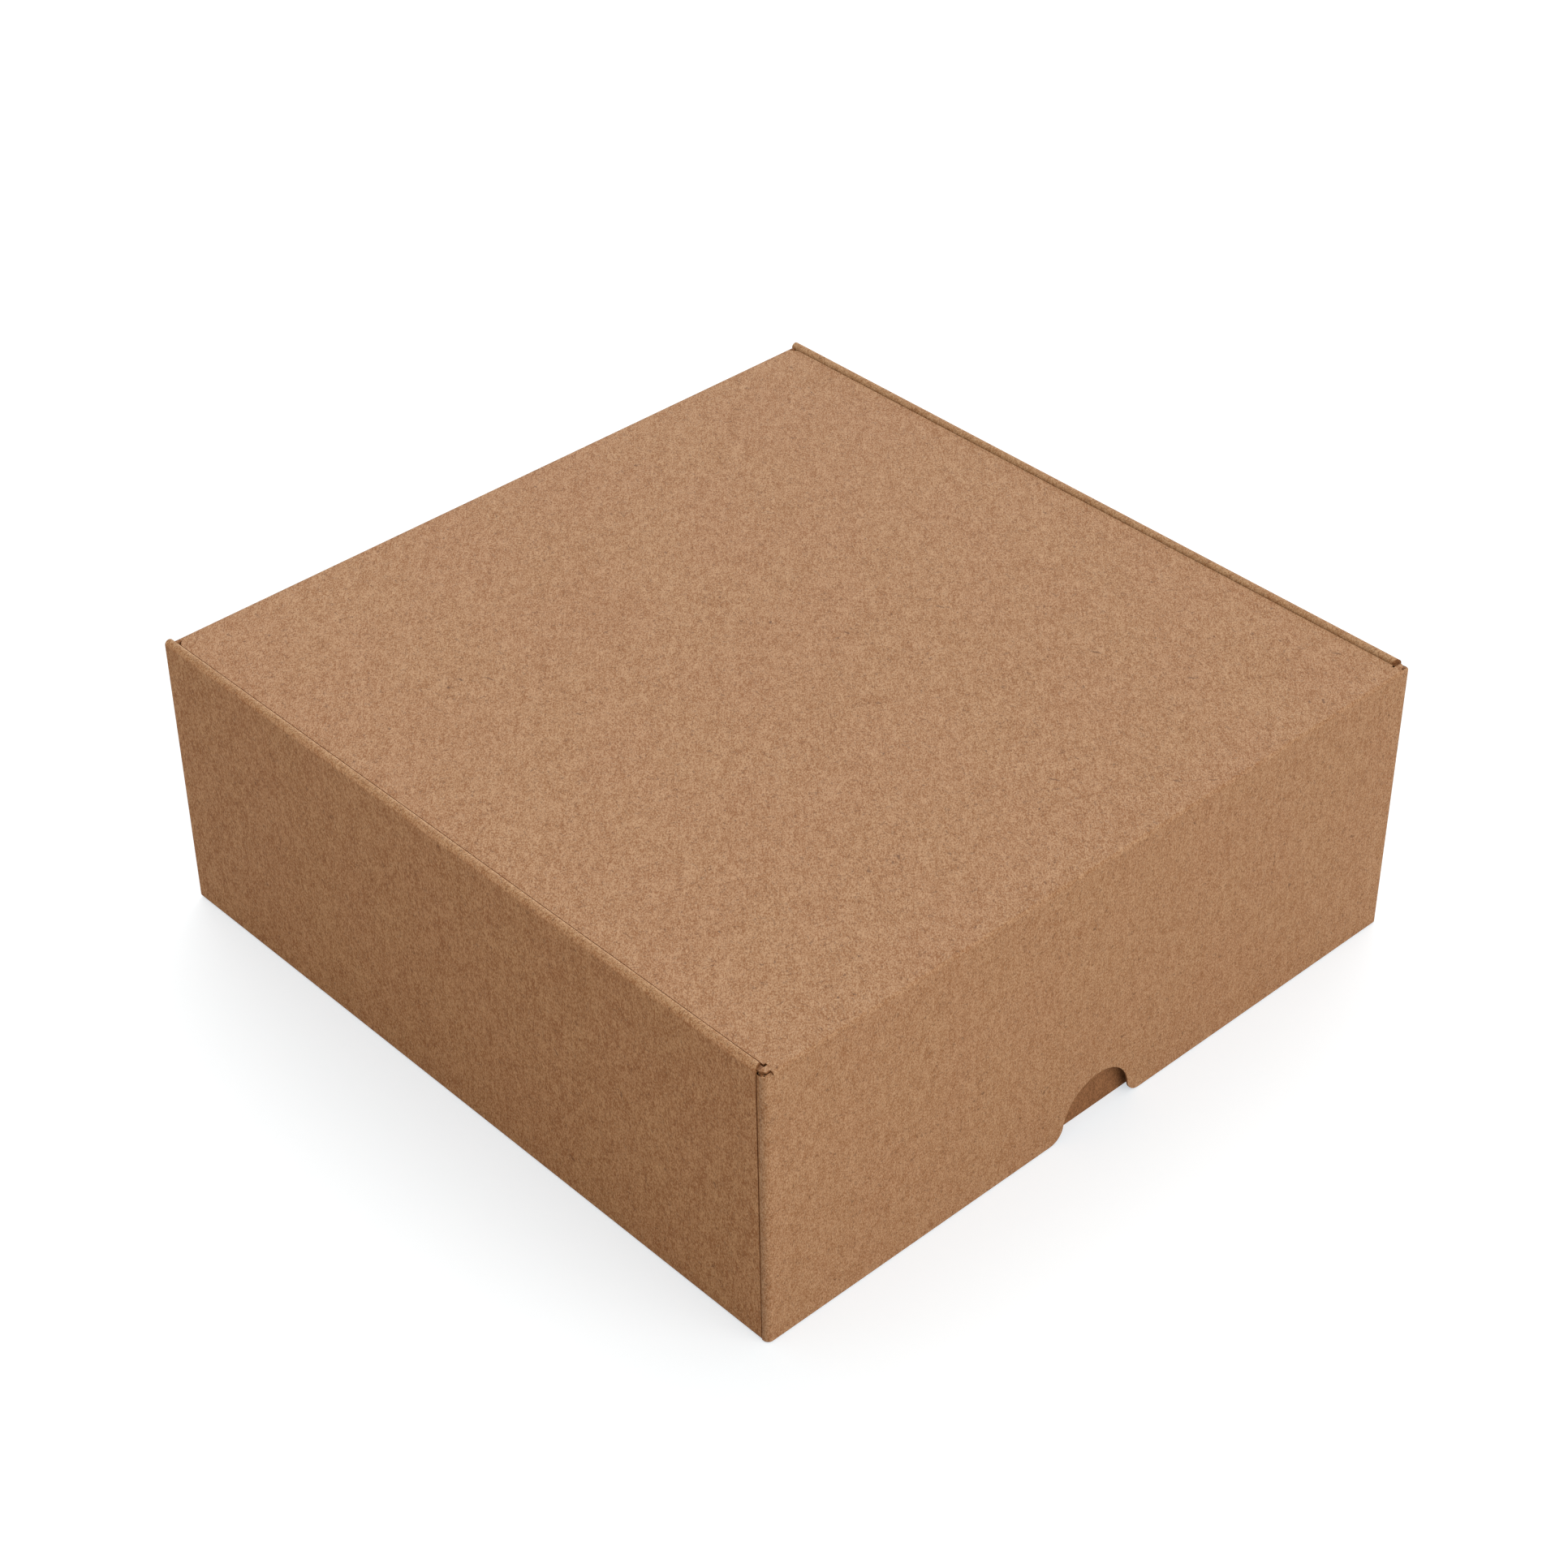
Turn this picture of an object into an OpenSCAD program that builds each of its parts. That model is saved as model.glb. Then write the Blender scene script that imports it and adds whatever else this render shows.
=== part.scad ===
// Roll-end mailer box of thin kraft board, closed: one die-cut sheet folded into a tray with double
// side walls, a hinged lid that lies between the rolled rims, and a front flap with a thumb notch.
// X runs along the front, Y from front to back, Z up. The origin is the middle of the footprint.

/* [Box] */
// Outer width across the two side walls
box_w = 250; // [120:1:400]
// Outer depth from the front flap's face to the back wall's face
box_d = 253; // [120:1:400]
// Height of the lid's top face
lid_h = 93.4; // [50:0.2:200]

/* [Board] */
// Thickness of the board
board_t = 0.6; // [0.5:0.05:1.2]
// Inner radius of every crease
crease_r = 0.4; // [0.3:0.05:0.6]
// Free space between two layers of a side wall
ply_gap = 0.15; // [0.1:0.01:0.3]

/* [Rims] */
// Rise of the rolled rims above the lid
rim_rise = 1.1; // [0.8:0.1:4]
// Slant of the rims' front ends, from the outer side to the inner one
rim_slant = 1.3; // [0.5:0.1:1.6]
// Free space between the lid's side edge and the rim
lid_side_gap = 0.3; // [0.2:0.05:1]

/* [Front] */
// Distance from the flap's face to the front wall's face
flap_standoff = 3.3; // [3:0.1:5]
// Width of the ear's strip that shows beside the flap
ear_strip = 2.2; // [2:0.1:5]
// Outer radius of the flap's upright corners
corner_r = 1.8; // [1.4:0.1:1.9]
// Slit between the strip and the side wall, at the floor
slit_bottom = 0.25; // [0.2:0.05:0.6]
// Slit between the strip and the side wall, at the rim
slit_top = 1.3; // [0.7:0.1:2]
// Setback of the inner side panel behind the outer one
inner_setback = 1.6; // [1.2:0.1:4]
// Clearance under the front flap
flap_lift = 0.3; // [0.2:0.05:0.6]

/* [Thumb notch] */
// Radius of the notch
notch_r = 13.4; // [8:0.2:20]
// Height of the notch's centre above the flap's edge
notch_rise = 2.8; // [1:0.1:6]
// Radius of the notch's shoulders
notch_shoulder_r = 5; // [2:0.5:8]

/* [Ears and corner flaps] */
// Length of the ear's tongue behind its strip
tongue_len = 14; // [8:1:20]
// Height of the tongue's lower edge above the floor
tongue_foot = 4; // [3:0.5:15]
// Radius of the tongue's lower corner
tongue_corner_r = 6; // [2:0.5:7]
// Length of the corner flaps inside the side walls
corner_flap_len = 48; // [20:1:55]
// Slope cut from the corner flaps' free ends
corner_flap_taper = 6; // [2:1:15]

/* [Lid corners] */
// Distance from the box's side to the end of the front crease
crease_stop = 3; // [2.5:0.1:6]
// Distance from the box's side to the side of the lid's shoulders
shoulder_inset = 0.8; // [0.2:0.1:1.2]
// Width of the chamfer on the lid's shoulders
shoulder_chamfer = 0.8; // [0.4:0.1:1.2]
// Straight length of the lid's shoulders behind the chamfer
shoulder_flat = 0.5; // [0.3:0.05:0.8]
// Width of the cut at the lid's back corners
back_relief_w = 2.2; // [1:0.1:6]
// Length of the cut at the lid's back corners
back_relief_l = 3.4; // [2:0.1:8]
// Length of the slits beside the lid's shoulders
front_relief_l = 0.7; // [0.5:0.1:6]
// Width of the slits beside the lid's shoulders
front_relief_w = 0.8; // [0.5:0.05:0.9]

/* [Locking tabs] */
// Length of the tabs under the inner side panels
tab_len = 24; // [12:1:34]
// Distance between the two tabs of a side
tab_pitch = 118; // [60:1:140]
// Clearance around a tab in its slot
slot_gap = 0.2; // [0.1:0.05:0.4]

/* [Fits] */
// Running gap at the two hinge creases
hinge_gap = 0.15; // [0.1:0.05:0.3]
// Free space where a panel's edge meets another panel
edge_gap = 0.3; // [0.2:0.05:0.6]

/* [Hidden] */
$fn = 48;

KRAFT = [0.66, 0.48, 0.33];
KRAFT_LIGHT = [0.70, 0.53, 0.40];

fold_r = crease_r + board_t;
rim_w = 4 * board_t + 3 * ply_gap;
rim_r = rim_w / 2;
rim_h = lid_h + rim_rise;
rim_z = rim_h - rim_r;

side_x = box_w / 2;
front_y = -box_d / 2;
back_y = box_d / 2;
layer = board_t + ply_gap;

wall_y = front_y + flap_standoff;
wall_top = lid_h - board_t - edge_gap;
wall_half = side_x - 2 * layer;
side_front_bottom = front_y + ear_strip + slit_bottom;
side_front_top = front_y + ear_strip + slit_top;
inner_front = max(side_front_bottom, wall_y) + inner_setback;
inner_back = back_y - board_t - edge_gap;

hinge_y = back_y - fold_r;
hinge_z = lid_h - fold_r;
flap_hinge_y = front_y + fold_r;
hinge_r = fold_r + hinge_gap;
below_hinge = hinge_z - hinge_r;
flap_top = lid_h - board_t - hinge_gap;
lid_half = side_x - rim_w - lid_side_gap;
crease_half = side_x - crease_stop;
strip_y = front_y + ear_strip;
far = box_w + box_d + lid_h;

// A sheet's rounded fold: a quarter of a ring between two creased panels, from X to Z, run along Y
module fold(length) {
    rotate([90, 0, 0]) {
        linear_extrude(length, center = true) {
            intersection() {
                difference() {
                    circle(fold_r);
                    circle(crease_r);
                }
                translate([0, -2 * fold_r]) {
                    square(2 * fold_r);
                }
            }
        }
    }
}

// Copies for the left and the right of the box
module both_sides() {
    children();
    mirror([1, 0, 0]) {
        children();
    }
}

// Rolled rim over the right double wall: half a ring in X and Z, its front end slanted
module rolled_rim() {
    difference() {
        translate([side_x - rim_r, back_y, rim_z]) {
            rotate([90, 0, 0]) {
                linear_extrude(back_y - side_front_top) {
                    difference() {
                        circle(rim_r);
                        circle(rim_r - board_t);
                        translate([-rim_w, -rim_w]) {
                            square([2 * rim_w, rim_w]);
                        }
                    }
                }
            }
        }
        translate([side_x, side_front_top, rim_z - rim_w]) {
            linear_extrude(2 * rim_w) {
                polygon([[rim_w, -rim_slant], [-2 * rim_w, -rim_slant], [-2 * rim_w, 2 * rim_slant]]);
            }
        }
    }
}

// Outer panel of the right wall, its front edge leaning back towards the rim
module outer_side_panel() {
    translate([side_x - board_t, 0, 0]) {
        rotate([90, 0, 90]) {
            linear_extrude(board_t) {
                polygon([
                    [side_front_bottom, fold_r],
                    [back_y, fold_r],
                    [back_y, rim_z],
                    [side_front_top, rim_z]
                ]);
            }
        }
    }
    translate([side_x - fold_r, (side_front_bottom + back_y) / 2, fold_r]) {
        fold(back_y - side_front_bottom);
    }
}

// Inner panel of the right wall, hanging from the rim, with its two locking tabs
module inner_side_panel() {
    translate([side_x - rim_w, 0, 0]) {
        rotate([90, 0, 90]) {
            linear_extrude(board_t) {
                translate([inner_front, layer]) {
                    square([inner_back - inner_front, rim_z - layer]);
                }
                for (y = [-tab_pitch / 2, tab_pitch / 2]) {
                    translate([y - tab_len / 2, slot_gap]) {
                        square([tab_len, 2 * layer]);
                    }
                }
            }
        }
    }
}

module double_side_wall() {
    outer_side_panel();
    rolled_rim();
    inner_side_panel();
}

module tab_slots() {
    for (y = [-tab_pitch / 2, tab_pitch / 2]) {
        translate([side_x - rim_w - slot_gap, y - tab_len / 2 - slot_gap, -board_t]) {
            cube([board_t + 2 * slot_gap, tab_len + 2 * slot_gap, 3 * board_t]);
        }
    }
}

module base_panel() {
    difference() {
        translate([-(side_x - fold_r), wall_y + fold_r, 0]) {
            cube([2 * (side_x - fold_r), back_y - wall_y - 2 * fold_r, board_t]);
        }
        both_sides() {
            tab_slots();
        }
    }
}

// End wall seen from outside, standing on its fold, with its two corner flaps folded inwards.
// Its outer face is the plane Y = 0 and the box lies towards +Y.
module end_wall(top) {
    half = wall_half - fold_r;
    translate([-half, 0, fold_r]) {
        cube([2 * half, board_t, top - fold_r]);
    }
    translate([0, fold_r, fold_r]) {
        rotate([0, 0, -90]) {
            fold(2 * half);
        }
    }
    both_sides() {
        corner_flap(top);
    }
}

// Vertical fold and corner flap on the right end of an end wall
module corner_flap(top) {
    foot = layer + crease_r;
    translate([wall_half - fold_r, fold_r, 0]) {
        translate([0, 0, foot]) {
            linear_extrude(top - foot) {
                intersection() {
                    difference() {
                        circle(fold_r);
                        circle(crease_r);
                    }
                    translate([0, -2 * fold_r]) {
                        square(2 * fold_r);
                    }
                }
            }
        }
    }
    translate([wall_half - board_t, fold_r, 0]) {
        rotate([90, 0, 90]) {
            linear_extrude(board_t) {
                polygon([
                    [0, foot],
                    [corner_flap_len - corner_flap_taper, foot],
                    [corner_flap_len, foot + corner_flap_taper],
                    [corner_flap_len, top - corner_flap_taper],
                    [corner_flap_len - corner_flap_taper, top],
                    [0, top]
                ]);
            }
        }
    }
}

module tray() {
    color(KRAFT) {
        base_panel();
        both_sides() {
            double_side_wall();
        }
        translate([0, wall_y, 0]) {
            end_wall(wall_top);
        }
        translate([0, back_y, 0]) {
            mirror([0, 1, 0]) {
                end_wall(below_hinge);
            }
        }
    }
}

// Outline of the lid's panel: relieved back corners, and chamfered shoulders in front of the rims
module lid_outline() {
    shoulder_front = flap_hinge_y + crease_r;
    shoulder_back = side_front_top - edge_gap;
    shoulder_x = side_x - shoulder_inset;
    slit_x = lid_half - front_relief_l;
    slit_y = shoulder_back + front_relief_w;
    right = [
        [crease_half, flap_hinge_y],
        [crease_half, shoulder_front],
        [shoulder_x - shoulder_chamfer, shoulder_front],
        [shoulder_x, shoulder_back - shoulder_flat],
        [shoulder_x, shoulder_back],
        [slit_x, shoulder_back],
        [slit_x, slit_y],
        [lid_half, slit_y],
        [lid_half, hinge_y + fold_r - back_relief_l],
        [lid_half - back_relief_w, hinge_y]
    ];
    polygon(concat(right, [for (i = [len(right) - 1 : -1 : 0]) [-right[i][0], right[i][1]]]));
}

// Round crease along X, concentric with its hinge axis
module crease_bead(half_length) {
    rotate([0, 90, 0]) {
        cylinder(r = fold_r, h = 2 * half_length, center = true);
    }
}

module lid() {
    color(KRAFT_LIGHT) {
        translate([0, 0, lid_h - board_t]) {
            linear_extrude(board_t) {
                lid_outline();
            }
        }
        translate([0, hinge_y, hinge_z]) {
            crease_bead(lid_half);
        }
        translate([0, flap_hinge_y, hinge_z]) {
            crease_bead(crease_half);
        }
    }
}

// Section of the flap in X and Y, right half: panel, corner fold, strip, jog and tongue of the ear
module flap_section() {
    jog_y = front_y + ear_strip - board_t;
    translate([0, front_y]) {
        square([side_x - corner_r, board_t]);
    }
    translate([side_x - corner_r, front_y + corner_r]) {
        intersection() {
            difference() {
                circle(corner_r);
                circle(corner_r - board_t);
            }
            translate([0, -2 * corner_r]) {
                square(2 * corner_r);
            }
        }
    }
    translate([side_x - board_t, front_y + corner_r]) {
        square([board_t, ear_strip - corner_r]);
    }
    translate([side_x - board_t - layer, jog_y]) {
        square([layer + board_t / 2, board_t]);
    }
    translate([side_x - board_t - layer, jog_y]) {
        square([board_t, board_t + tongue_len]);
    }
}

// Side view of the flap and its ear in Y and Z. The ear's back edge is on an arc about the lid's
// hinge, so that the tongue clears the rim's front end as the lid swings up.
module ear_outline() {
    clear_r = norm([hinge_y - side_front_top, rim_h - hinge_z]) + edge_gap;
    back = strip_y + tongue_len;
    corner_z = tongue_foot + tongue_corner_r;
    difference() {
        polygon([
            [front_y, flap_lift],
            [strip_y, flap_lift],
            [strip_y, tongue_foot],
            [back - tongue_corner_r, tongue_foot],
            [back - tongue_corner_r, corner_z],
            [back, corner_z],
            [back, flap_top],
            [front_y, flap_top]
        ]);
        translate([hinge_y, hinge_z]) {
            circle(clear_r, $fn = 360);
        }
    }
    translate([back - tongue_corner_r, corner_z]) {
        circle(tongue_corner_r);
    }
}

// Thumb notch in X and Z: a round hole whose shoulders run tangent into the flap's lower edge
module notch_outline() {
    shoulder_x = sqrt(pow(notch_r + notch_shoulder_r, 2) - pow(notch_shoulder_r - notch_rise, 2));
    translate([0, flap_lift]) {
        translate([0, notch_rise]) {
            circle(notch_r);
        }
        difference() {
            polygon([
                [-shoulder_x, -notch_r],
                [shoulder_x, -notch_r],
                [shoulder_x, notch_shoulder_r],
                [0, notch_rise],
                [-shoulder_x, notch_shoulder_r]
            ]);
            for (x = [-shoulder_x, shoulder_x]) {
                translate([x, notch_shoulder_r]) {
                    circle(notch_shoulder_r);
                }
            }
        }
    }
}

// The flap's top gives way to the round crease between the lid's shoulders
module front_flap() {
    color(KRAFT) {
        difference() {
            intersection() {
                linear_extrude(far) {
                    flap_section();
                    mirror([1, 0]) {
                        flap_section();
                    }
                }
                rotate([90, 0, 90]) {
                    linear_extrude(far, center = true) {
                        ear_outline();
                    }
                }
            }
            translate([0, front_y + board_t + crease_r, 0]) {
                rotate([90, 0, 0]) {
                    linear_extrude(2 * fold_r) {
                        notch_outline();
                    }
                }
            }
            translate([0, flap_hinge_y, hinge_z]) {
                rotate([0, 90, 0]) {
                    cylinder(r = hinge_r, h = 2 * (crease_half + hinge_gap), center = true);
                }
            }
        }
    }
}

tray();
lid();
front_flap();
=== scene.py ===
from math import cos, pi, sin

import bpy
from mathutils import Matrix, Vector


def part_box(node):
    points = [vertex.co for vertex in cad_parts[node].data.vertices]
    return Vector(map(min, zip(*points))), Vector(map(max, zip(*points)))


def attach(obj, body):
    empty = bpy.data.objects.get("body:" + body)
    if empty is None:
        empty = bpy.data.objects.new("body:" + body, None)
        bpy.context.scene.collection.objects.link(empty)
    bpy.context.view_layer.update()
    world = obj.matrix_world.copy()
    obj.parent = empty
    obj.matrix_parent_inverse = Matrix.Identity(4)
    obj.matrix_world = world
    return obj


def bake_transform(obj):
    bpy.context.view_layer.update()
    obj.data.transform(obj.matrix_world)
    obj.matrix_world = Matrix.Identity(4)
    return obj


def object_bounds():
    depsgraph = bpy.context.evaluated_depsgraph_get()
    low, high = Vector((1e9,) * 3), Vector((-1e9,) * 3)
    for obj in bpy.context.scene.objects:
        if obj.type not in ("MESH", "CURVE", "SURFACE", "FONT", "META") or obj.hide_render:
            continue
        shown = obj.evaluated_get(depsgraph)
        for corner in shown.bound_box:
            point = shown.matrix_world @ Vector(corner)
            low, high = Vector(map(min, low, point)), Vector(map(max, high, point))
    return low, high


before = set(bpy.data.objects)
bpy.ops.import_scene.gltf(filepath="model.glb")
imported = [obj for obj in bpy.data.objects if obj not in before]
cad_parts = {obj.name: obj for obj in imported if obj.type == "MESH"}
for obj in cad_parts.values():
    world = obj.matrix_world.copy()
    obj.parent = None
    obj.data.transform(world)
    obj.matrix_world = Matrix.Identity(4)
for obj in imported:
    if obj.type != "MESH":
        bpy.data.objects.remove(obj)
cad_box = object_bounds()

# Sizes of the board and its folds in metres, as in the part's source
BOARD = 0.0006
PLY_GAP = 0.00015
FOLD_R = 0.001
HINGE_GAP = 0.00015
CORNER_R = 0.0018
CREASE_STOP = 0.003
LID_GAP = 0.0003
EAR_STRIP = 0.0022
SLIT_BOTTOM = 0.00025
SLIT_TOP = 0.0013
RIM_SLANT = 0.0013
FLAP_LIFT = 0.0003
RIM_W = 4 * BOARD + 3 * PLY_GAP
RIM_R = RIM_W / 2
HINGE_R = FOLD_R + HINGE_GAP

# Corners of the box at rest, and the planes and axes that follow from them
LOW, HIGH = cad_box
LID_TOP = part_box("lid")[1].z
SIDE_X = HIGH.x
FRONT_Y = LOW.y
BACK_Y = HIGH.y
RIM_Z = HIGH.z - RIM_R
HINGE_Z = LID_TOP - FOLD_R
WALL_HALF = SIDE_X - 2 * (BOARD + PLY_GAP)
LID_HALF = SIDE_X - RIM_W - LID_GAP

# Depth below a sheet's face that still counts as the face
SKIN = 0.0001
# Width of the lid's back corners left in the dark inner tone: their cut edges, and painted shade on the
# board beside the gap at the rims' ends
RELIEF_SHADE_WIDTH = 0.0014
# How far the back wall's face reaches into its fold, in fold radii
BACK_BEND = 0.75
# Share of the tray's half depth that holds the locking tabs
TAB_REACH = 2 / 3
# Part of a face's normal along an axis from which it faces that way, leans that way, or is an end face
FACING = 0.5
LEANING = 0.3
ENDWISE = 0.6
# Where the rims' painted light and painted highlight begin and are full, in rim radii: heights above the
# rims' axis, and for the last one distances inward from the box's side
RIM_TOP_RISE = (0.1, 0.4)
RIM_FOLD_RISE = (-0.1, 0.3)
RIM_FOLD_FALL = (0.95, 0.65)
RIM_SIDE_RISE = (1.1, 1.6)

# Sizes of the pieces that show in the folds, and the power by which the ear's bend deepens
RIM_CORE_PLAY = 0.00002
RIM_CORE_SKIRT = 0.0003
RIM_FOOT_SETBACK = 0.00022
RIM_FOOT_INSET = 0.00078
RIM_FOOT_TOP = 0.00025
STUB_R = 0.00042
JOG_RISE = 0.0002
JOG_START = 0.00006
JOG_DEPTH = 0.00034
JOG_POWER = 4

# Millimetres in a metre: the paper's pattern is laid out in millimetres
MM = 1000
# Layers of the paper's tone: stretch along the fibres, scale per mm, detail, roughness, strength, relief
TONE_LAYERS = (
    (0.7, 0.3, 3, 0.6, 0.75, 0.0),
    (0.6, 0.9, 2, 0.5, 0.75, 0.2),
    (0.15, 1.3, 1, 0.5, 0.45, 0.3),
    (0.55, 2.9, 2, 0.6, 2.9, 0.5),
)
# The large pinker patches: stretch, scale per mm, and noise values where they begin and are full
CLOUD_STRETCH = 0.6
CLOUD_SCALE = 0.04
CLOUD_EDGE = (0.35, 0.65)
# How far and how quickly the fibres wander, in mm and per mm
WANDER_REACH = 2.5
WANDER_SCALE = 0.35
# The many faint fibres: directions, stretch, scale per mm, noise values where they begin and are full,
# and relief
FIBRE_WAYS = ((0.3, 0.4, 1), (-0.5, 0.3, 0.9), (0.9, -0.7, 0.5), (-0.8, -0.9, 0.3))
FIBRE_STRETCH = 0.2
FIBRE_SCALE = 1.9
FIBRE_EDGE = (0.7, 0.78)
FIBRE_RELIEF = -0.3
# The few dark fibres: directions, share of cells without one, stretch, cells per mm, distances from a
# cell's middle where they begin and are full, and strength
SPECK_WAYS = ((0.5, 0.6, 0.7), (-0.7, 0.5, 0.4))
SPECK_RARITY = 0.85
SPECK_STRETCH = 0.22
SPECK_SCALE = 0.35
SPECK_EDGE = (0.16, 0.1)
SPECK_STRENGTH = 1.8
# Pale and deep ends of the tone and the colour of the fibres, in sRGB, and the fibres' share
LINER_TONES = ((184, 143, 105), (140, 91, 50))
# The inner tone also stands as painted shade on the front wall's outer face and the lid's back corners
INNER_AND_SHADE_TONES = ((150, 100, 58), (112, 68, 30))
FIBRE = (108, 70, 40)
FIBRE_SHARE = 0.4
# Linear factors of the liner: its pinker patches; the walls, warmer and deeper as painted shade; the rims'
# tops, where painted light takes that shade back off; the rims' outer folds, paler as a painted highlight;
# the rims' sides towards the lid, paler as painted light; and the board in the slits at the front corners,
# browner and darker as painted shade
CLOUD_TINT = (0.99, 0.97, 0.975, 1.0)
WALL_SHADE_TINT = (1.07, 0.985, 0.84, 1.0)
RIM_TOP_LIGHT_TINT = (0.95, 1.05, 1.18, 1.0)
RIM_FOLD_HIGHLIGHT_TINT = (1.22, 1.2, 1.25, 1.0)
RIM_SIDE_LIGHT_TINT = (1.16, 1.25, 1.38, 1.0)
SLIT_SHADE_TINT = (0.98, 0.88, 0.7, 1.0)
# Contrast of the walls' tone against the lid's, and the direction of the lid's fibres
WALL_CONTRAST = 1.15
LID_FIBRES = (0.68, 0.73, 0)
# Roughness of the deep and the pale spots, the tones that count as such, and the relief of the paper
ROUGHNESS = (0.78, 0.66)
ROUGHNESS_TONES = (0.2, 0.8)
BUMP_STRENGTH = 0.25
BUMP_DEPTH = 0.00005

# Camera: lens and sensor in mm, place in metres, and the directions of the picture's right, down and depth
CAMERA_LENS = 75.03
CAMERA_SENSOR = 36
CAMERA_NEAR = 0.01
CAMERA_AT = (-0.52017, -0.55821, 0.62979)
CAMERA_RIGHT = Vector((0.729391, -0.684081, -0.004637))
CAMERA_DOWN = Vector((-0.417798, -0.440084, -0.79484))
CAMERA_AHEAD = Vector((0.541695, 0.581687, -0.606801))

# Light: the level and tint of the surroundings, and two broad suns by name, direction, strength and angle
AMBIENT = 0.66
AMBIENT_TINT = (1.03, 1.0, 0.93, 1.0)
SUNS = (
    ("back_key", (-0.54, -0.58, -0.61), 1.47, 1.2),
    ("front_fill", (-0.15, 0.94, -0.27), 1.8, 1.2),
)
WHITE = (1, 1, 1, 1)

# Floor: half its width, its depth below the box, its grey, and the glow that turns it white for the camera
FLOOR_REACH = 4
FLOOR_DROP = 0.00005
FLOOR_TONE = 0.6
FLOOR_GLOW = 0.54
GLOW_TINT = (0.93, 1.0, 1.06, 1.0)


def linear(rgb):
    """Linear colour with alpha from an sRGB colour of 0 to 255."""
    def channel(value):
        value /= 255
        return value / 12.92 if value <= 0.04045 else ((value + 0.055) / 1.055) ** 2.4
    return tuple(channel(value) for value in rgb) + (1.0,)


def turn_to_z(direction):
    """Rotation that takes a direction to the Z axis."""
    return Vector(direction).rotation_difference(Vector((0, 0, 1))).to_euler()


# Nodes

class Shader:
    """Short forms for building one node tree."""

    def __init__(self, tree):
        self.tree = tree

    def put(self, value, socket):
        """Links a socket, or sets a plain value."""
        if isinstance(value, bpy.types.NodeSocket):
            self.tree.links.new(value, socket)
        else:
            socket.default_value = value

    def node(self, kind, **settings):
        made = self.tree.nodes.new(kind)
        for name, value in settings.items():
            setattr(made, name, value)
        return made

    def math(self, operation, *values, clamp=False):
        made = self.node("ShaderNodeMath", operation=operation, use_clamp=clamp)
        for value, socket in zip(values, made.inputs):
            self.put(value, socket)
        return made.outputs[0]

    def both(self, *masks):
        """1 where all the masks are 1."""
        result = masks[0]
        for mask in masks[1:]:
            result = self.math("MULTIPLY", result, mask)
        return result

    def any(self, *masks):
        """1 where one of the masks is 1."""
        result = masks[0]
        for mask in masks[1:]:
            result = self.math("MAXIMUM", result, mask)
        return result

    def above(self, value, limit):
        return self.math("GREATER_THAN", value, limit)

    def below(self, value, limit):
        return self.math("LESS_THAN", value, limit)

    def size(self, value):
        return self.math("ABSOLUTE", value)

    def ramp(self, value, low, high, to_low=0.0, to_high=1.0, smooth=True):
        """Maps low..high to to_low..to_high, clamped."""
        made = self.node("ShaderNodeMapRange", interpolation_type="SMOOTHSTEP" if smooth else "LINEAR")
        for number, item in enumerate((value, low, high, to_low, to_high)):
            self.put(item, made.inputs[number])
        return made.outputs[0]

    def noise(self, vector, scale, detail=2.0, roughness=0.5, output="Fac"):
        made = self.node("ShaderNodeTexNoise")
        inputs = {"Vector": vector, "Scale": scale, "Detail": detail, "Roughness": roughness}
        for name, value in inputs.items():
            self.put(value, made.inputs[name])
        return made.outputs[output]

    def mapped(self, vector, turn=(0, 0, 0), scale=(1, 1, 1)):
        made = self.node("ShaderNodeMapping")
        self.put(vector, made.inputs["Vector"])
        made.inputs["Rotation"].default_value = turn
        made.inputs["Scale"].default_value = scale
        return made.outputs[0]

    def mix(self, factor, first, second, kind="MIX"):
        made = self.node("ShaderNodeMix", data_type="RGBA", blend_type=kind)
        self.put(factor, made.inputs["Factor"])
        self.put(first, made.inputs["A"])
        self.put(second, made.inputs["B"])
        return made.outputs["Result"]


# Kraft board

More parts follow.
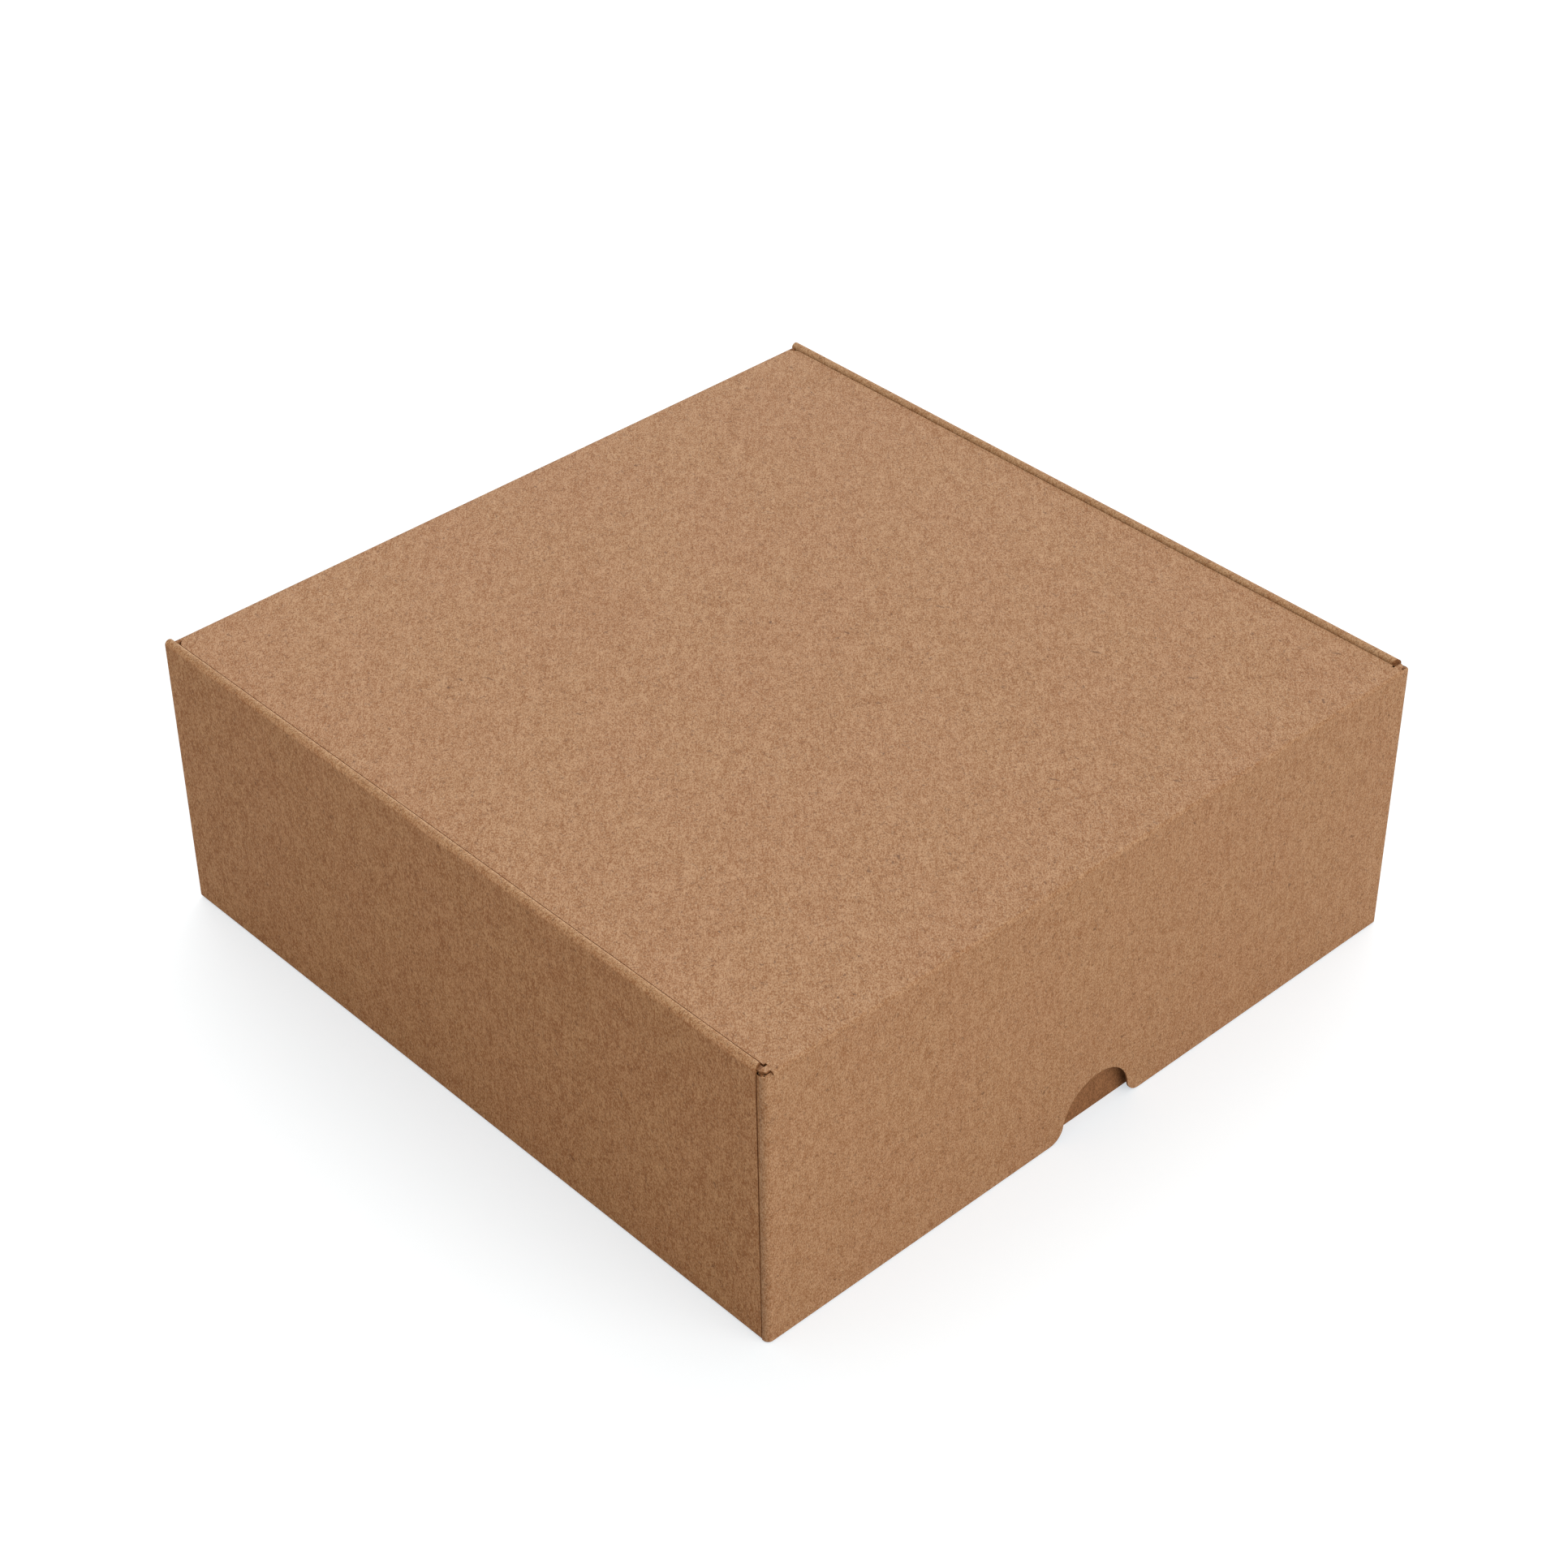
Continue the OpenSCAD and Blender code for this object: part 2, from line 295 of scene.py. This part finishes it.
def kraft_group():
    """Node group of kraft paper whose fibres run along Z: its tone, fibres, patches and height."""
    tree = bpy.data.node_groups.new("kraft_paper", "ShaderNodeTree")
    tree.interface.new_socket("Position", in_out="INPUT", socket_type="NodeSocketVector")
    for name in ("Tone", "Fibre", "Cloud", "Height"):
        tree.interface.new_socket(name, in_out="OUTPUT", socket_type="NodeSocketFloat")
    s = Shader(tree)
    place = s.mapped(s.node("NodeGroupInput").outputs["Position"], scale=(MM, MM, MM))
    cloud = s.noise(s.mapped(place, scale=(1, 1, CLOUD_STRETCH)), CLOUD_SCALE)
    tone = 0.5
    height = 0.0
    for stretch, scale, detail, roughness, strength, relief in TONE_LAYERS:
        layer = s.noise(s.mapped(place, scale=(1, 1, stretch)), scale, detail, roughness)
        tone = s.math("MULTIPLY_ADD", s.math("SUBTRACT", layer, 0.5), strength, tone)
        height = s.math("MULTIPLY_ADD", layer, relief, height)

    bent = s.node("ShaderNodeVectorMath", operation="MULTIPLY_ADD")
    s.put(s.noise(place, WANDER_SCALE, output="Color"), bent.inputs[0])
    bent.inputs[1].default_value = (WANDER_REACH, WANDER_REACH, WANDER_REACH)
    s.put(place, bent.inputs[2])
    fibre = 0.0
    for direction in FIBRE_WAYS:
        turned = s.mapped(bent.outputs[0], turn=turn_to_z(direction))
        lines = s.noise(s.mapped(turned, scale=(1, 1, FIBRE_STRETCH)), FIBRE_SCALE, detail=0)
        fibre = s.math("ADD", fibre, s.ramp(lines, *FIBRE_EDGE))
    for direction in SPECK_WAYS:
        turned = s.mapped(bent.outputs[0], turn=turn_to_z(direction))
        cells = s.node("ShaderNodeTexVoronoi")
        s.put(s.mapped(turned, scale=(1, 1, SPECK_STRETCH)), cells.inputs["Vector"])
        s.put(SPECK_SCALE, cells.inputs["Scale"])
        near = s.ramp(cells.outputs["Distance"], *SPECK_EDGE)
        speck = s.both(near, s.above(cells.outputs["Color"], SPECK_RARITY))
        fibre = s.math("MULTIPLY_ADD", speck, SPECK_STRENGTH, fibre)

    height = s.math("MULTIPLY_ADD", fibre, FIBRE_RELIEF, height)
    out = s.node("NodeGroupOutput")
    for name, value in (("Tone", tone), ("Fibre", fibre), ("Cloud", cloud), ("Height", height)):
        s.put(value, out.inputs[name])
    return tree


def board_material(name, group, outside=None, tints=(), fibre_axis=(0, 0, 1), contrast=1.0, inside=False):
    """Kraft board: the outer liner where the mask is 1, elsewhere the plain dark tone of the inner liner and
    cut edges, which also stands as painted shade where a mask leaves an outer face out.
    Each tint is a pair of a mask, or None for the whole liner, and a linear factor."""
    material = bpy.data.materials.new(name)
    material.use_nodes = True
    tree = material.node_tree
    tree.nodes.clear()
    s = Shader(tree)
    place = s.node("ShaderNodeTexCoord")
    paper = s.node("ShaderNodeGroup", node_tree=group)
    s.put(s.mapped(place.outputs["Object"], turn=turn_to_z(fibre_axis)), paper.inputs["Position"])

    at = s.node("ShaderNodeSeparateXYZ")
    s.put(place.outputs["Object"], at.inputs[0])
    facing = s.node("ShaderNodeSeparateXYZ")
    s.put(place.outputs["Normal"], facing.inputs[0])

    tone = s.ramp(paper.outputs["Tone"], 0.5 - 0.5 / contrast, 0.5 + 0.5 / contrast, smooth=False)
    pale, deep = LINER_TONES
    liner = s.mix(tone, linear(deep), linear(pale))
    liner = s.mix(s.ramp(paper.outputs["Cloud"], *CLOUD_EDGE), liner, CLOUD_TINT, kind="MULTIPLY")
    fibre = s.math("MULTIPLY", paper.outputs["Fibre"], FIBRE_SHARE, clamp=True)
    liner = s.mix(fibre, liner, linear(FIBRE))
    for mask, tint in tints:
        liner = s.mix(mask(s, at.outputs) if mask else 1.0, liner, tint, kind="MULTIPLY")
    pale, deep = INNER_AND_SHADE_TONES
    inner = s.mix(tone, linear(deep), linear(pale))
    if inside:
        colour = inner
    elif outside:
        colour = s.mix(outside(s, at.outputs, facing.outputs), inner, liner)
    else:
        colour = liner

    shader = s.node("ShaderNodeBsdfPrincipled")
    s.put(colour, shader.inputs["Base Color"])
    s.put(s.ramp(paper.outputs["Tone"], *ROUGHNESS_TONES, *ROUGHNESS), shader.inputs["Roughness"])
    bump = s.node("ShaderNodeBump")
    s.put(paper.outputs["Height"], bump.inputs["Height"])
    bump.inputs["Strength"].default_value = BUMP_STRENGTH
    bump.inputs["Distance"].default_value = BUMP_DEPTH
    s.put(bump.outputs[0], shader.inputs["Normal"])
    s.put(shader.outputs[0], s.node("ShaderNodeOutputMaterial").inputs["Surface"])
    return material


def tray_outside(s, at, facing):
    """Outer panels, rims, the inner panels' faces towards the goods, the back wall and the underside.
    The front wall's outer face, seen in the thumb notch, keeps the dark inner tone as painted shade.
    """
    x, y, z = at
    nx, ny, nz = facing
    side = s.size(x)
    outward = s.math("MULTIPLY", nx, s.math("SIGN", x))
    wall = s.above(side, SIDE_X - SKIN)
    across = s.math("SUBTRACT", side, SIDE_X - RIM_R)
    up = s.math("SUBTRACT", z, RIM_Z)
    reach = s.math("SQRT", s.math("MULTIPLY_ADD", across, across, s.math("MULTIPLY", up, up)))
    rim = s.both(s.above(reach, RIM_R - SKIN), s.above(up, 0.0))
    inner_face = s.both(s.below(side, SIDE_X - RIM_W + SKIN), s.above(side, SIDE_X - RIM_W - SKIN))
    inner = s.both(inner_face, s.below(outward, -FACING))
    lengthwise = s.below(s.size(ny), ENDWISE)
    back = s.both(s.above(y, BACK_Y - BACK_BEND * FOLD_R), s.above(ny, LEANING), s.below(side, WALL_HALF))
    tabs = s.both(s.below(side, SIDE_X - RIM_W + 2 * BOARD), s.below(s.size(y), TAB_REACH * BACK_Y))
    tab_end = s.both(s.above(z, SKIN), tabs)
    under = s.both(s.below(z, FOLD_R), s.below(nz, -LEANING), s.math("SUBTRACT", 1.0, tab_end))
    return s.any(s.both(s.any(wall, rim, inner), lengthwise), back, under)


def rim_ramp(s, height, edge):
    """Ramp between two heights above the rims' axis, given in rim radii."""
    begin, full = edge
    return s.ramp(height, RIM_Z + begin * RIM_R, RIM_Z + full * RIM_R)


def rim_lit_top(s, at):
    """The rims' upper part, where painted light takes the walls' painted shade back off."""
    return rim_ramp(s, at["Z"], RIM_TOP_RISE)


def rim_fold_highlight(s, at):
    """The rims' outer folds, lightened as a painted highlight."""
    outer = s.above(s.size(at["X"]), SIDE_X - RIM_R)
    return s.both(outer, rim_ramp(s, at["Z"], RIM_FOLD_RISE), rim_ramp(s, at["Z"], RIM_FOLD_FALL))


def rim_side_light(s, at):
    """The rims' sides towards the lid, lightened as painted light."""
    begin, full = RIM_SIDE_RISE
    inward = s.ramp(s.size(at["X"]), SIDE_X - begin * RIM_R, SIDE_X - full * RIM_R)
    return s.both(inward, s.above(at["Z"], LID_TOP - BOARD))


def lid_outside(s, at, facing):
    """Top face and the outer side of both round creases, but not the ends of the back one nor the top beside
    them, which are left dark as painted shade.
    """
    side = s.size(at["X"])
    y = at["Y"]
    nx, ny, nz = facing
    flat = s.below(s.size(nx), FACING)
    # Painted shade: the lid's back corners, beside the gap at the rims' ends, keep the dark inner tone
    relief = s.both(s.above(side, LID_HALF - RELIEF_SHADE_WIDTH), s.above(y, BACK_Y - 2 * FOLD_R))
    back = s.both(s.above(y, BACK_Y - FOLD_R), s.above(ny, 0.0), flat)
    front = s.both(s.below(y, FRONT_Y + FOLD_R), s.below(ny, 0.0), s.below(side, SIDE_X - CREASE_STOP), flat)
    return s.both(s.any(s.above(nz, LEANING), back, front), s.math("SUBTRACT", 1.0, relief))


def flap_outside(s, at, facing):
    """Front face, the top edges in front of the lid's shoulders, and the ears' outer sides."""
    x = at["X"]
    y = at["Y"]
    nx, ny, nz = facing
    front = s.both(s.below(ny, -LEANING), s.below(y, FRONT_Y + CORNER_R))
    top = s.both(s.above(nz, FACING), s.below(y, FRONT_Y + CORNER_R - 2 * SKIN))
    outward = s.above(s.math("MULTIPLY", nx, s.math("SIGN", x)), FACING)
    ear = s.both(outward, s.above(s.size(x), SIDE_X - BOARD - 2 * PLY_GAP))
    return s.any(front, top, ear)


def dress(node, material):
    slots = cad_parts[node].data.materials
    slots.clear()
    slots.append(material)


# Pieces that close the hinge gaps or show in the folds

def new_piece(name, points, faces, material):
    """A piece of board with this mesh."""
    mesh = bpy.data.meshes.new(name)
    mesh.from_pydata(points, [], faces)
    mesh.materials.append(material)
    piece = bpy.data.objects.new(name, mesh)
    bpy.context.scene.collection.objects.link(piece)
    return piece


def crease_strip(name, half_length, y, z_start, z_end, material):
    """Thin band of board, flush with the box's face, that closes the running gap of a hinge crease."""
    rows, columns = 9, 48
    points = []
    for row in range(rows):
        for column in range(columns + 1):
            x = half_length * (2 * column / columns - 1)
            points.append((x, y, z_start + (z_end - z_start) * row / (rows - 1)))
    faces = []
    for row in range(rows - 1):
        for column in range(columns):
            first = row * (columns + 1) + column
            faces.append((first, first + 1, first + columns + 2, first + columns + 1))
    strip = new_piece(name, points, faces, material)
    strip.data.polygons.foreach_set("use_smooth", [True] * len(faces))
    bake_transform(strip)


def loft(rings):
    """Points and faces of a closed solid through rings of equally many points, with flat ends."""
    count = len(rings[0])
    faces = [tuple(range(count))[::-1], tuple(range((len(rings) - 1) * count, len(rings) * count))]
    for ring in range(len(rings) - 1):
        for first in range(count):
            second = (first + 1) % count
            base = ring * count
            faces.append((base + first, base + second, base + count + second, base + count + first))
    return [point for ring in rings for point in ring], faces


def add_piece(name, points, faces, material, body):
    """A piece of board that rides on a body."""
    piece = new_piece(name, points, faces, material)
    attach(piece, body)


def mirrored(points, faces):
    """The same shape on the other side of the box, with its faces kept outward."""
    return [(-x, y, z) for x, y, z in points], [face[::-1] for face in faces]


def rim_front(x):
    """Y of the rims' slanted front end."""
    return FRONT_Y + EAR_STRIP + SLIT_TOP + (SIDE_X - x) * RIM_SLANT / RIM_W


def rim_core():
    """The folded-in board that fills the rolled rim, a little behind the rim's slanted front end."""
    radius = RIM_R - BOARD - RIM_CORE_PLAY
    steps = 16
    outline = []
    for step in range(steps + 1):
        angle = pi * step / steps
        outline.append((radius * cos(angle), radius * sin(angle)))
    outline += [(-radius, -RIM_CORE_SKIRT), (radius, -RIM_CORE_SKIRT)]
    front, back = [], []
    for across, up in outline:
        x = SIDE_X - RIM_R + across
        front.append((x, rim_front(x) + SKIN, RIM_Z + up))
        back.append((x, BACK_Y - SKIN, RIM_Z + up))
    return loft([front, back])


def rim_foot():
    """The tucked-in end of the board below the rim's front end, just behind the lid's shoulder."""
    start = FRONT_Y + EAR_STRIP + SLIT_TOP - RIM_FOOT_SETBACK
    near, far = SIDE_X - RIM_W + SKIN, SIDE_X - RIM_FOOT_INSET
    plan = [(near, start), (far, start), (far, rim_front(far) + SKIN), (near, rim_front(near) + SKIN)]
    return loft([[(x, y, LID_TOP - depth) for x, y in plan] for depth in (BOARD, RIM_FOOT_TOP)])


def crease_stub():
    """The end of the flap's crease below the lid's shoulder."""
    steps = 24
    inner, outer = [], []
    for step in range(steps):
        angle = 2 * pi * step / steps
        y = FRONT_Y + FOLD_R + STUB_R * cos(angle)
        z = HINGE_Z + STUB_R * sin(angle)
        inner.append((SIDE_X - CREASE_STOP + SKIN / 2, y, z))
        outer.append((SIDE_X - FOLD_R, y, z))
    return loft([inner, outer])


def ear_jog():
    """The ear's bend between its strip and its tongue, which shows in the slit beside the side wall."""
    rows, steps = 24, 6
    low = FLAP_LIFT + SKIN
    high = HINGE_Z + JOG_RISE
    start = FRONT_Y + EAR_STRIP - SKIN / 2
    rings = []
    for row in range(rows + 1):
        z = low + (high - low) * row / rows
        share = max(0.0, (z - FOLD_R) / (RIM_Z - FOLD_R))
        end = FRONT_Y + EAR_STRIP + SLIT_BOTTOM + (SLIT_TOP - SLIT_BOTTOM) * share
        outer, inner = [], []
        for step in range(steps + 1):
            along = step / steps
            depth = JOG_START + JOG_DEPTH * along ** JOG_POWER
            y = start + (end - start) * along
            outer.append((SIDE_X - depth, y, z))
            inner.append((SIDE_X - depth - SKIN / 2, y, z))
        rings.append(outer + inner[::-1])
    return loft(rings)


# Camera, light and floor

def add_camera():
    data = bpy.data.cameras.new("camera")
    data.sensor_width = CAMERA_SENSOR
    data.lens = CAMERA_LENS
    data.clip_start = CAMERA_NEAR
    camera = bpy.data.objects.new("camera", data)
    bpy.context.scene.collection.objects.link(camera)
    pose = Matrix((CAMERA_RIGHT, -CAMERA_DOWN, -CAMERA_AHEAD)).transposed().to_4x4()
    pose.translation = CAMERA_AT
    camera.matrix_world = pose
    bpy.context.scene.camera = camera


def add_world():
    world = bpy.data.worlds.new("studio")
    bpy.context.scene.world = world
    world.use_nodes = True
    world.node_tree.nodes.clear()
    s = Shader(world.node_tree)
    seen = s.node("ShaderNodeLightPath").outputs["Is Camera Ray"]
    back = s.node("ShaderNodeBackground")
    s.put(s.ramp(seen, 0.0, 1.0, AMBIENT, 1.0, smooth=False), back.inputs["Strength"])
    s.put(s.mix(seen, AMBIENT_TINT, WHITE), back.inputs["Color"])
    s.put(back.outputs[0], s.node("ShaderNodeOutputWorld").inputs["Surface"])


def add_sun(name, towards, strength, spread):
    data = bpy.data.lights.new(name, "SUN")
    data.energy = strength
    data.angle = spread
    sun = bpy.data.objects.new(name, data)
    bpy.context.scene.collection.objects.link(sun)
    sun.rotation_euler = Vector(towards).to_track_quat("-Z", "Y").to_euler()


def add_floor():
    """White floor that keeps a faint contact shadow."""
    mesh = bpy.data.meshes.new("floor")
    signs = ((-1, -1), (1, -1), (1, 1), (-1, 1))
    corners = [(x * FLOOR_REACH, y * FLOOR_REACH, -FLOOR_DROP) for x, y in signs]
    mesh.from_pydata(corners, [], [(0, 1, 2, 3)])
    floor = bpy.data.objects.new("floor", mesh)
    bpy.context.scene.collection.objects.link(floor)
    material = bpy.data.materials.new("floor")
    material.use_nodes = True
    material.node_tree.nodes.clear()
    s = Shader(material.node_tree)
    seen = s.node("ShaderNodeLightPath").outputs["Is Camera Ray"]
    diffuse = s.node("ShaderNodeBsdfDiffuse")
    diffuse.inputs["Color"].default_value = (FLOOR_TONE, FLOOR_TONE, FLOOR_TONE, 1)
    glow = s.node("ShaderNodeEmission")
    glow.inputs["Color"].default_value = GLOW_TINT
    s.put(s.math("MULTIPLY", seen, FLOOR_GLOW), glow.inputs["Strength"])
    total = s.node("ShaderNodeAddShader")
    s.put(diffuse.outputs[0], total.inputs[0])
    s.put(glow.outputs[0], total.inputs[1])
    s.put(total.outputs[0], s.node("ShaderNodeOutputMaterial").inputs["Surface"])
    mesh.materials.append(material)


paper = kraft_group()
# The walls carry painted shade, and the rims' tops, outer folds and sides towards the lid carry painted
# light
tray_shade_and_light_tints = (
    (None, WALL_SHADE_TINT),
    (rim_lit_top, RIM_TOP_LIGHT_TINT),
    (rim_fold_highlight, RIM_FOLD_HIGHLIGHT_TINT),
    (rim_side_light, RIM_SIDE_LIGHT_TINT),
)
dress("tray", board_material("kraft_tray", paper, tray_outside, tray_shade_and_light_tints, contrast=WALL_CONTRAST))
dress("lid", board_material("kraft_lid", paper, lid_outside, fibre_axis=LID_FIBRES))
dress("front_flap", board_material("kraft_flap", paper, flap_outside))

crease_board = board_material("kraft_crease", paper)
inner_board = board_material("kraft_inner", paper, inside=True)
# Painted shade: the board in the slits is browner and darker than the liner
slit_shade_board = board_material("kraft_slit_shade", paper, tints=((None, SLIT_SHADE_TINT),))
strip_drop = (HINGE_R ** 2 - FOLD_R ** 2) ** 0.5
crease_strip("front_crease", SIDE_X - CREASE_STOP + HINGE_GAP, FRONT_Y, HINGE_Z, HINGE_Z - strip_drop,
             crease_board)
crease_strip("back_crease", LID_HALF, BACK_Y, HINGE_Z - HINGE_R, HINGE_Z, crease_board)
folded_in = (
    ("rim_core", rim_core(), inner_board, "tray"),
    ("rim_foot", rim_foot(), inner_board, "tray"),
    ("crease_stub", crease_stub(), crease_board, "front_flap"),
    ("ear_jog", ear_jog(), slit_shade_board, "front_flap"),
)
for name, shape, material, body in folded_in:
    add_piece(name + "_left", *mirrored(*shape), material, body)
for name, shape, material, body in folded_in:
    add_piece(name + "_right", *shape, material, body)

add_camera()
add_world()
for sun in SUNS:
    add_sun(*sun)
add_floor()
bpy.context.scene.view_settings.view_transform = "Standard"
